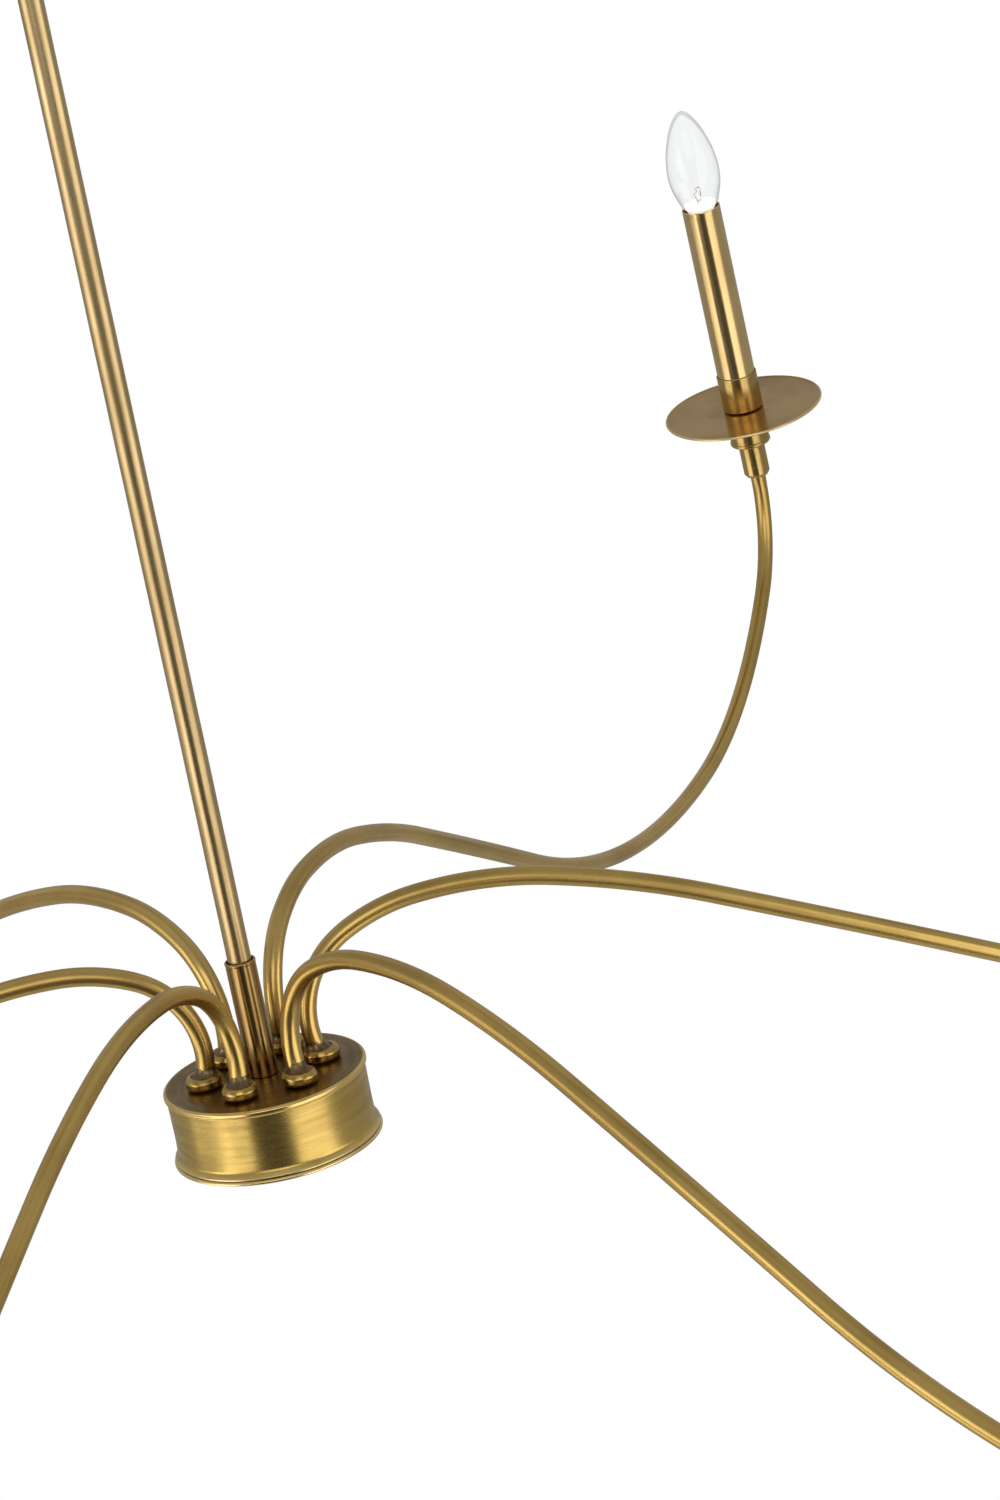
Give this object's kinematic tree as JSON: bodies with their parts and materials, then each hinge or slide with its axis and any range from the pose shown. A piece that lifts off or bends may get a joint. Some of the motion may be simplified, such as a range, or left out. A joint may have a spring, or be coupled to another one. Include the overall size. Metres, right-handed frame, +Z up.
{
  "type": "multi arm chandelier",
  "caption": "Hanging chandelier with slender swooping brass arms from a round hub on a long stem, each arm ending in a flat drip pan, a candle sleeve and a clear bulb.",
  "frame": {"origin": "centre of the ceiling plate's upper face, where it meets the ceiling", "axes": "+Z up into the ceiling along the stem, +X out along arm a, arms b to f follow every 60 degrees counterclockwise seen from above"},
  "size_m": [1.9772, 1.7173, 0.8315],
  "materials": {
    "antique_brass": "satin antique brass, streaked along its length",
    "dark_brass": "darker brushed antique brass",
    "candle_brass": "paler satin brass",
    "zinc_steel": "zinc plated",
    "socket_black": "black phenolic",
    "bulb_glass": "clear glass"
  },
  "bodies": {
    "ceiling_mount": {"ceiling_plate": "zinc_steel", "canopy": "antique_brass", "canopy_ring_nut": "antique_brass", "swivel_fork": "antique_brass", "swivel_pin": "zinc_steel"},
    "pendant": {"swivel_tongue": "antique_brass", "stem": "antique_brass", "stem_collar": "antique_brass", "stem_nipple": "zinc_steel", "hub_top_plate": "dark_brass", "hub_wall": "antique_brass", "hub_bottom_cover": "antique_brass", "bead_a": "antique_brass", "arm_a": "antique_brass", "pan_seat_a": "antique_brass", "drip_pan_a": "dark_brass", "candle_cup_a": "candle_brass", "candle_sleeve_a": "candle_brass", "socket_a": "socket_black", "bead_b": "antique_brass", "arm_b": "antique_brass", "pan_seat_b": "antique_brass", "drip_pan_b": "dark_brass", "candle_cup_b": "candle_brass", "candle_sleeve_b": "candle_brass", "socket_b": "socket_black", "bead_c": "antique_brass", "arm_c": "antique_brass", "pan_seat_c": "antique_brass", "drip_pan_c": "dark_brass", "candle_cup_c": "candle_brass", "candle_sleeve_c": "candle_brass", "socket_c": "socket_black", "bead_d": "antique_brass", "arm_d": "antique_brass", "pan_seat_d": "antique_brass", "drip_pan_d": "dark_brass", "candle_cup_d": "candle_brass", "candle_sleeve_d": "candle_brass", "socket_d": "socket_black", "bead_e": "antique_brass", "arm_e": "antique_brass", "pan_seat_e": "antique_brass", "drip_pan_e": "dark_brass", "candle_cup_e": "candle_brass", "candle_sleeve_e": "candle_brass", "socket_e": "socket_black", "bead_f": "antique_brass", "arm_f": "antique_brass", "pan_seat_f": "antique_brass", "drip_pan_f": "dark_brass", "candle_cup_f": "candle_brass", "candle_sleeve_f": "candle_brass", "socket_f": "socket_black"},
    "lamp_a": {"bulb_a": "bulb_glass"},
    "lamp_b": {"bulb_b": "bulb_glass"},
    "lamp_c": {"bulb_c": "bulb_glass"},
    "lamp_d": {"bulb_d": "bulb_glass"},
    "lamp_e": {"bulb_e": "bulb_glass"},
    "lamp_f": {"bulb_f": "bulb_glass"}
  },
  "joints": [
    {"name": "stem_tilt", "type": "hinge", "parent": "ceiling_mount", "child": "pendant", "pos_m": [0, 0, -0.054], "axis": [1, 0, 0], "range_deg": [-20, 20]},
    {"name": "bulb_a_screw", "type": "hinge", "parent": "pendant", "child": "lamp_a", "pos_m": [0.93404, 0, -0.67791], "axis": [0, 0, 1], "range_deg": [0, 1080]},
    {"name": "bulb_b_screw", "type": "hinge", "parent": "pendant", "child": "lamp_b", "pos_m": [0.46897, 0.80172, -0.67969], "axis": [-0.0554, -0.1188, 0.9914], "range_deg": [0, 1080]},
    {"name": "bulb_c_screw", "type": "hinge", "parent": "pendant", "child": "lamp_c", "pos_m": [-0.46512, 0.80561, -0.63075], "axis": [0.0262, -0.0453, 0.9986], "range_deg": [0, 1080]},
    {"name": "bulb_d_screw", "type": "hinge", "parent": "pendant", "child": "lamp_d", "pos_m": [-0.93404, 0, -0.67791], "axis": [0, 0, 1], "range_deg": [0, 1080]},
    {"name": "bulb_e_screw", "type": "hinge", "parent": "pendant", "child": "lamp_e", "pos_m": [-0.4935, -0.79184, -0.66217], "axis": [0.0092, 0.0148, 0.9998], "range_deg": [0, 1080]},
    {"name": "bulb_f_screw", "type": "hinge", "parent": "pendant", "child": "lamp_f", "pos_m": [0.46999, -0.80719, -0.67803], "axis": [0.0604, 0.0349, 0.9976], "range_deg": [0, 1080]}
  ]
}
